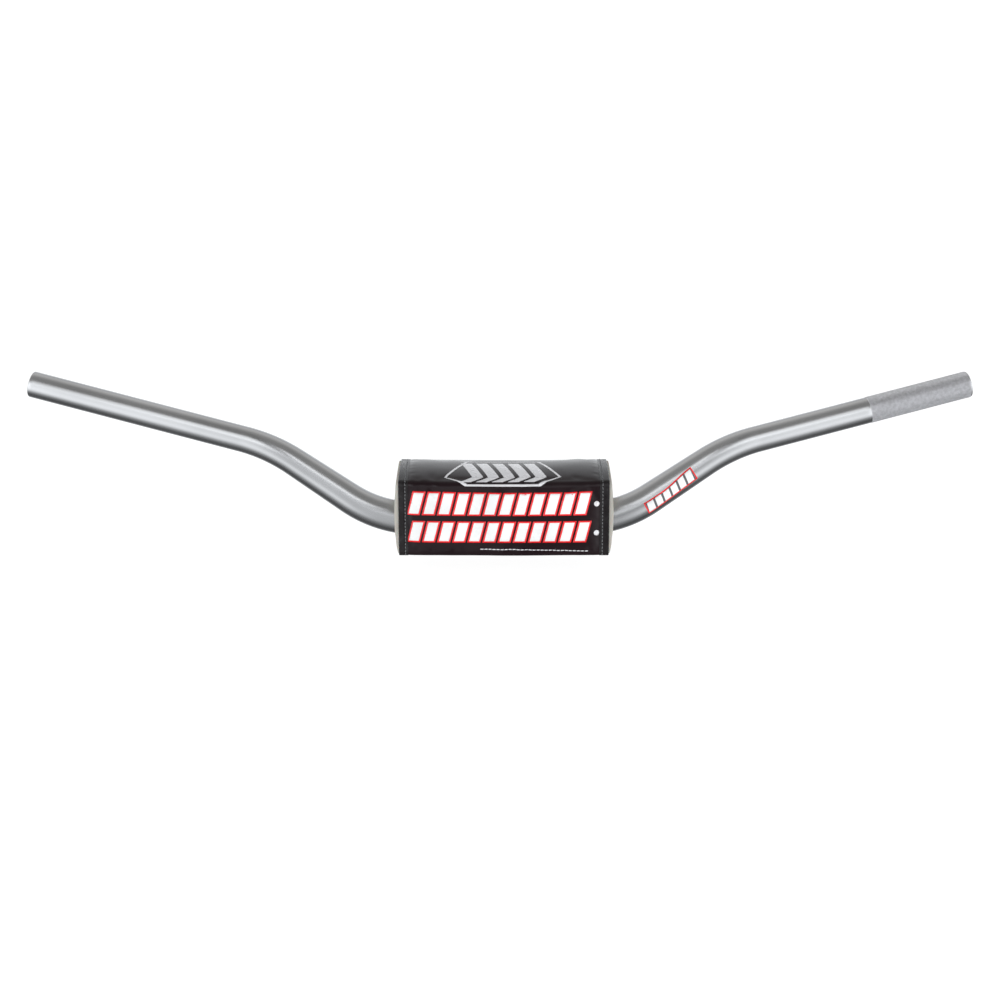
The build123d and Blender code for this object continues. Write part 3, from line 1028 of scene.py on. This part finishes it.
# ---- Decal on the rider's left riser: lengths along the bar, and heights round it from its facing ----
DECAL_START = RISER_START - 7.2 * MM
DECAL_LENGTH = 49.4 * MM
DECAL_FACING = math.radians(107)
DECAL_LOWER, DECAL_LOWER_RISE = -3.6 * MM, 2.9 * MM
DECAL_UPPER, DECAL_UPPER_RISE = 7.5 * MM, 3.7 * MM
DECAL_RISE_FROM = 0.35
DECAL_OVER = 0.08 * MM
DECAL_FILM = 0.04 * MM
DECAL_LAYER = 0.05 * MM
DECAL_BLOCKS = 6
BLOCK_MARGIN, BLOCK_INSET = 0.02, 1.2 * MM
GROUND_MARGIN, GROUND_INSET = 0.022, 1.1 * MM
DECAL_GAP = 0.04
DECAL_STEP = 0.04
DECAL_LEAN = 0.03


def decal_point(share, height, out):
    """The point over the riser at a share of the decal's length and a height across it."""
    distance = DECAL_START + DECAL_LENGTH * share
    radius = taper(distance, CLAMP_RADIUS, GRIP_RADIUS)
    return on_bar(distance, DECAL_FACING - height / radius, radius + DECAL_OVER + out)


def decal_strip(first, last, inset, lean=0.0):
    """Quads between the decal's lower and upper edges, from one share of its length to another."""
    def lower(share):
        return share, DECAL_LOWER + DECAL_LOWER_RISE * share + inset

    def upper(share):
        rise = eased((share - DECAL_RISE_FROM) / (1 - DECAL_RISE_FROM))
        return share + lean, DECAL_UPPER + DECAL_UPPER_RISE * rise - inset

    shares = spaced(first, last, DECAL_STEP)
    return [[lower(here), lower(there), upper(there), upper(here)] for here, there in zip(shares, shares[1:])]


def make_riser_decal(white, red, dark):
    """A small striped film on the rider's left riser, edged in red and wider at its outer end."""
    edging = decal_strip(0, 1, 0)
    ground = decal_strip(GROUND_MARGIN, 1 - GROUND_MARGIN, GROUND_INSET)
    blocks = []
    pitch = (1 - 2 * BLOCK_MARGIN) / DECAL_BLOCKS
    for index in range(DECAL_BLOCKS):
        first = BLOCK_MARGIN + index * pitch
        blocks += decal_strip(first, first + pitch - DECAL_GAP, BLOCK_INSET, DECAL_LEAN)
    finish = ("bar", "decal_film")
    print_on("riser_decal_edging", edging, decal_point, 0, DECAL_FILM, red, *finish, "bar_decal")
    print_on("riser_decal_ground", ground, decal_point, DECAL_LAYER, DECAL_FILM, dark, *finish)
    print_on("riser_decal_blocks", blocks, decal_point, 2 * DECAL_LAYER, DECAL_FILM, white, *finish)


# ================= Closure =================

STRAP_THICKNESS = 1.2 * MM
STRAP_CORNER = 4 * MM
STRAP_LEVEL_Y = 12 * MM
STRAP_SPACING = 0.6 * MM
WEAVE_DEPTH = 0.05 * MM
WEAVE_RATE = 2600
PATCH_SPACING = 0.5 * MM
PATCH_INSET = 0.06 * MM
HOOK_DEPTH = 0.10 * MM
LOOP_DEPTH = 0.06 * MM
NAP_RATE = 900
CLOSURE_STITCH_HEIGHT = 0.32 * MM


def flat_slab(name, low, high, spacing, relief):
    """A thin slab between two corners; relief(x, y) stands out of its two large faces."""
    xs = spaced(low.x, high.x, spacing)
    ys = spaced(low.y, high.y, spacing)
    coordinates = [(x, y) for x in xs for y in ys]
    faces = ((low.z, -1), (high.z, 1))
    points = [Vector((x, y, z + out * relief(x, y))) for z, out in faces for x, y in coordinates]
    sheet = [quad[::-1] for quad in grid_faces(len(xs), len(ys), wrap_columns=False)]
    slab = outward(mesh_object(name, points, shell_faces(sheet, len(coordinates))))
    flow_map(slab, coordinates * 2)
    return slab


def weave(x, y):
    return WEAVE_DEPTH * math.sin(x * WEAVE_RATE) * math.sin(y * WEAVE_RATE)


def make_strap(side, material):
    """The woven strap: down from its root, then level, with a rounded free end."""
    low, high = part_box(f"strap_{side}")
    flat_low = Vector((low.x, low.y, -STRAP_THICKNESS))
    flat_high = Vector((high.x, high.y, 0))
    strap = flat_slab(f"{side}_closure_strap", flat_low, flat_high, STRAP_SPACING, weave)
    drop = high.z - (low.z + STRAP_THICKNESS)
    middle, half = (low.x + high.x) / 2, (high.x - low.x) / 2
    for vertex in strap.data.vertices:
        x, y, z = vertex.co
        over = y - (high.y - STRAP_CORNER)
        if over > 0:
            reach = math.sqrt(max(0, STRAP_CORNER ** 2 - over ** 2))
            x = middle + (x - middle) * (half - STRAP_CORNER + reach) / half
        slope = clamped((y - low.y) / (STRAP_LEVEL_Y - low.y))
        vertex.co = (x, y, z + high.z - drop * slope)
    finished(strap, material, f"{side}_strap", "strap_webbing", f"strap_{side}")


def make_patch(side, kind, material, body, depth):
    """One patch of hook or loop tape, its faces rough to this depth."""
    def nap(x, y):
        return depth * ripple(x, y, NAP_RATE, NAP_RATE, 2.2)

    node = f"{kind}_patch_{side}"
    low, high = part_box(node)
    inset = UP * PATCH_INSET
    patch = flat_slab(f"{side}_{kind}_tape", low + inset, high - inset, PATCH_SPACING, nap)
    finished(patch, material, body, f"{kind}_tape", node)


def stitch_places(node):
    """The (middle, along, out) of each stitch in a CAD thread node on the underside."""
    work = bmesh.new()
    work.from_mesh(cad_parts[node].data)
    bmesh.ops.remove_doubles(work, verts=work.verts, dist=1e-6)
    unseen = set(work.verts)
    places = []
    while unseen:
        island, edge = set(), [next(iter(unseen))]
        while edge:
            vertex = edge.pop()
            if vertex not in island:
                island.add(vertex)
                edge += [link.other_vert(vertex) for link in vertex.link_edges]
        unseen -= island
        low, high = ([pick(v.co[axis] for v in island) for axis in range(3)] for pick in (min, max))
        middle = Vector(((low[0] + high[0]) / 2, (low[1] + high[1]) / 2, high[2]))
        lengthwise = high[0] - low[0] > high[1] - low[1]
        places.append((middle, Vector((1, 0, 0)) if lengthwise else Vector((0, 1, 0)), -UP))
    work.free()
    places.sort(key=lambda found: tuple(found[0]))
    return places


def make_closure(side, webbing, hooks, loops, thread):
    """Strap, patches and seams of one side."""
    strap = f"{side}_strap"
    make_strap(side, webbing)
    make_patch(side, "hook", hooks, strap, HOOK_DEPTH)
    make_patch(side, "loop", loops, "pad", LOOP_DEPTH)
    for node, name, body in (
        (f"hook_patch_thread_{side}", f"{side}_hook_seam", strap),
        (f"loop_patch_thread_{side}", f"{side}_loop_seam", "pad"),
        (f"strap_anchor_thread_{side}", f"{side}_anchor_seam", "pad"),
    ):
        seam = stitch_mesh(stitch_places(node), name, CLOSURE_STITCH_HEIGHT)
        finished(seam, thread, body, "thread", node)


# ================= Stage =================

CAMERA_DISTANCE = 1.9
CAMERA_ELEVATION = math.radians(17)
FOCAL_LENGTH_MM = 81.5
SENSOR_MM = 36.0
AIM_ABOVE_AXIS = 15.8 * MM
FLOOR_GAP = 16 * MM
FLOOR_HALF = 40.0
FLOOR_GLOW = 0.9


def make_camera():
    camera = bpy.data.objects.new("camera", bpy.data.cameras.new("camera"))
    camera.data.lens = FOCAL_LENGTH_MM
    camera.data.sensor_width = SENSOR_MM
    towards = Vector((0, -math.cos(CAMERA_ELEVATION), math.sin(CAMERA_ELEVATION)))
    camera.location = towards * CAMERA_DISTANCE
    aim = UP * AIM_ABOVE_AXIS - camera.location
    camera.rotation_euler = aim.to_track_quat("-Z", "Y").to_euler()
    bpy.context.scene.collection.objects.link(camera)
    bpy.context.scene.camera = camera


def make_floor():
    """A pale floor, low enough for the open straps. It doesn't show in reflections."""
    height = CAD_BOX[0][2] - FLOOR_GAP
    around = ((-1, -1), (1, -1), (1, 1), (-1, 1))
    corners = [(FLOOR_HALF * x, FLOOR_HALF * y, height) for x, y in around]
    floor = mesh_object("floor", corners, [(0, 1, 2, 3)], smooth=False)
    white = (1, 1, 1, 1)
    paint = Paint("floor_white", Roughness=0.9, Emission_Strength=FLOOR_GLOW, Emission_Color=white)
    colour = paint.ramp(paint.noise(1.5, 2.0), (0.3, 0.26), (0.7, 0.28))
    floor.data.materials.append(paint.drive(colour))
    floor.visible_glossy = False
    floor.visible_shadow = False


# Brightness of the surroundings by the angle round the bar's direction: 0 ahead, 90 overhead.
BANDS = (
    (-180, 1.20), (-150, 0.75), (-120, 0.12), (-88, 0.10), (-62, 0.31), (-45, 0.58), (-28, 0.68),
    (0, 0.80), (20, 0.90), (33, 0.60), (46, 0.40), (62, 0.30), (92, 0.33), (122, 0.70), (150, 0.58),
    (162, 0.85), (170, 1.10), (180, 1.35),
)
# The bands and the lights are a little blue, except for the bands overhead.
COOL = (0.945, 0.972, 1.0)
NEUTRAL = (1.0, 1.0, 0.99)
NEUTRAL_SPAN = (46, 122)
# Soft rectangles on the surroundings: angles to the side, heights, and brightness or depth of shade.
# Each has its two outer and two inner edges in degrees. Lights are on both sides, shades only once.
SOFTBOX = ((16, 36, 90, 125), (-48, -14, 22, 42), 1.0)
LAMP = ((7, 12, 18, 25), (15, 26, 44, 54), 1.45)
LOWER_SHADE = ((-2, 2, 9, 14), (-100, -80, 2, 18), 0.75)
UPPER_SHADE = ((-12, -7, 1, 4), (30, 44, 95, 120), 0.9)


def make_studio():
    """Soft studio surroundings, plain white where the camera looks past the object."""
    world = bpy.data.worlds.new("studio")
    bpy.context.scene.world = world
    world.use_nodes = True
    tree = world.node_tree

    def node(kind, *sources, **settings):
        return add_node(tree, kind, dict(enumerate(sources)), **settings).outputs[0]

    def number(operation, *sources):
        return node("ShaderNodeMath", *sources, operation=operation)

    def window(source, edges):
        """One between the two inner edges, with soft falls to zero at the outer ones."""
        rise_from, rise_to, fall_from, fall_to = (math.radians(edge) for edge in edges)
        rise = node("ShaderNodeMapRange", source, rise_from, rise_to, interpolation_type="SMOOTHSTEP")
        fall = node("ShaderNodeMapRange", source, fall_to, fall_from, interpolation_type="SMOOTHSTEP")
        return number("MULTIPLY", rise, fall)

    generated = add_node(tree, "ShaderNodeTexCoord").outputs["Generated"]
    right, behind, up = add_node(tree, "ShaderNodeSeparateXYZ", {0: generated}).outputs
    ahead = number("MULTIPLY", behind, -1.0)
    round_bar = number("ARCTAN2", up, ahead)
    to_either_side = number("ARCTAN2", number("ABSOLUTE", right), ahead)
    to_right = number("ARCTAN2", right, ahead)
    elevation = number("ARCSINE", up)

    def patch(angle, side, height, gain):
        """A soft rectangle on the surroundings, this bright."""
        inside = number("MULTIPLY", window(angle, side), window(elevation, height))
        return number("MULTIPLY", inside, gain)

    brightest = max(grey for degrees, grey in BANDS)
    stops = []
    for degrees, grey in BANDS:
        tint = NEUTRAL if NEUTRAL_SPAN[0] <= degrees <= NEUTRAL_SPAN[1] else COOL
        stops.append(((degrees + 180) / 360, tuple(grey / brightest * part for part in tint)))
    lit = colour_ramp(tree, node("ShaderNodeMapRange", round_bar, -math.pi, math.pi), stops)
    for side, height, gain in (SOFTBOX, LAMP):
        light = patch(to_either_side, side, height, gain / brightest)
        tinted = node("ShaderNodeVectorMath", light, COOL, operation="MULTIPLY")
        lit = node("ShaderNodeVectorMath", lit, tinted, operation="ADD")
    for side, height, depth in (LOWER_SHADE, UPPER_SHADE):
        kept = number("SUBTRACT", 1.0, patch(to_right, side, height, depth))
        lit = node("ShaderNodeVectorMath", lit, kept, operation="MULTIPLY")
    surroundings = tree.nodes["Background"]
    feed(tree, surroundings.inputs["Color"], lit)
    feed(tree, surroundings.inputs["Strength"], brightest)
    plain = node("ShaderNodeBackground", (1, 1, 1))
    camera_ray = add_node(tree, "ShaderNodeLightPath").outputs["Is Camera Ray"]
    seen = node("ShaderNodeMixShader", camera_ray, surroundings.outputs[0], plain)
    feed(tree, tree.nodes["World Output"].inputs["Surface"], seen)


# ================= The whole object =================

bpy.context.scene.view_settings.view_transform = "Standard"
make_camera()
make_floor()
make_studio()

make_tube(bar_alloy())
make_knurl(knurl_alloy())
black_vinyl = pad_vinyl()
settled_skin = SettledSkin()
make_cover(settled_skin, black_vinyl)
make_foam(pad_foam())
tape = binding_tape()
# Hem thread: the first colour is painted shade in the twist's grooves, the second a painted highlight on its
# ridges.
hem_thread = sewing_thread("hem_thread", (0.10, 0.10, 0.105), (0.30, 0.30, 0.31))
for end, x_sign in (("left", 1), ("right", -1)):
    make_binding(end, x_sign, tape)
    hem_stitches(end, x_sign, hem_thread)
white_print = print_film("print_white", (0.92, 0.93, 0.925))
red_print = print_film("print_red", (0.92, 0.006, 0.010))
silver_print = print_film("print_silver", (0.85, 0.84, 0.86), metallic=0.15)
make_stripes(settled_skin, white_print, red_print)
make_small_prints(settled_skin, silver_print)
make_badge(settled_skin, silver_print)
make_riser_decal(white_print, red_print, print_film("print_grey", (0.10, 0.10, 0.11)))
closure_materials = (
    strap_webbing(),
    napped_tape("hook_tape", (0.018, 0.018, 0.019), 1500.0, 0.5),
    napped_tape("loop_tape", (0.022, 0.022, 0.023), 1100.0, 0.0),
    # Closure thread: the first colour is painted shade in the twist's grooves, the second a painted highlight
    # on its ridges.
    sewing_thread("closure_thread", (0.03, 0.03, 0.03), (0.09, 0.09, 0.09)),
)
for end in ("left", "right"):
    make_closure(end, *closure_materials)
